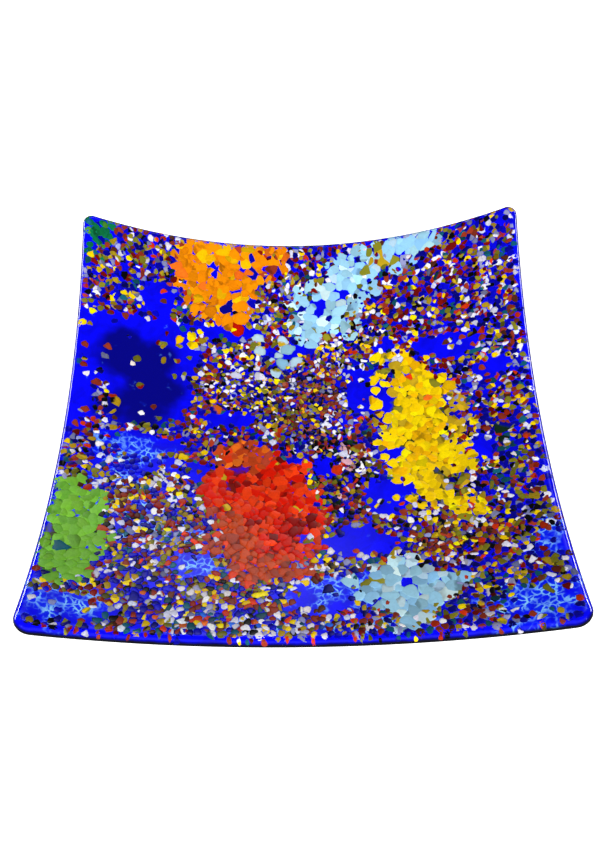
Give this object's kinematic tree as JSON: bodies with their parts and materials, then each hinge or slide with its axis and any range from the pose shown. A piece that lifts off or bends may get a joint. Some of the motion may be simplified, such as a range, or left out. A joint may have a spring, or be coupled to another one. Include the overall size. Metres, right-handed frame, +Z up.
{
  "type": "art glass bowl",
  "caption": "Square kiln-fused glass dish with raised corners, its cobalt body full of coarse frit and pools of yellow, red, amber, lime, navy and pale blue.",
  "frame": {"origin": "centre of the flat foot's underside, under the middle of the dish", "axes": "+Z up out of the dish, +Y towards the rear edge, +X towards the right-hand edge"},
  "size_m": [0.3014, 0.3, 0.0633],
  "materials": {
    "cobalt_sheet": "deep transparent cobalt, fire-polished edge, kiln-satin underside",
    "cobalt_frit": "glossy fused cobalt frit",
    "navy_frit": "glossy dense dark blue frit",
    "amber_frit": "glossy opaque amber frit",
    "pale_blue_frit": "glossy opaque pale blue frit",
    "yellow_frit": "glossy opaque yellow frit",
    "red_frit": "glossy opaque orange-red frit",
    "lime_frit": "glossy translucent lime frit",
    "emerald_frit": "glossy emerald frit",
    "dark_green_glass": "glossy dark green sheet shard",
    "warm_mixed_frit": "glossy mixed frit, brick, dark red, mustard, white and cobalt",
    "dark_mixed_frit": "glossy mixed frit, black, brown, red and white",
    "blue_mixed_frit": "glossy cobalt frit with clear glass between"
  },
  "bodies": {
    "root": {"base_sheet": "cobalt_sheet", "middle_sheet": "cobalt_sheet", "cobalt_bed": "cobalt_frit", "dark_green_shard": "dark_green_glass", "emerald_corner_pool": "emerald_frit", "amber_pool": "amber_frit", "pale_blue_rear_pool": "pale_blue_frit", "pale_blue_rim_pool": "pale_blue_frit", "pale_blue_trail": "pale_blue_frit", "yellow_pool": "yellow_frit", "red_pool": "red_frit", "lime_pool": "lime_frit", "pale_blue_front_pool": "pale_blue_frit", "navy_pool": "navy_frit", "brown_mix": "warm_mixed_frit", "dark_mix": "dark_mixed_frit", "rear_left_mix": "warm_mixed_frit", "rear_middle_mix": "warm_mixed_frit", "rear_right_mix": "warm_mixed_frit", "right_mix": "warm_mixed_frit", "front_right_mix": "warm_mixed_frit", "front_left_mix": "warm_mixed_frit", "left_mix": "blue_mixed_frit", "front_mix": "warm_mixed_frit"}
  },
  "joints": []
}
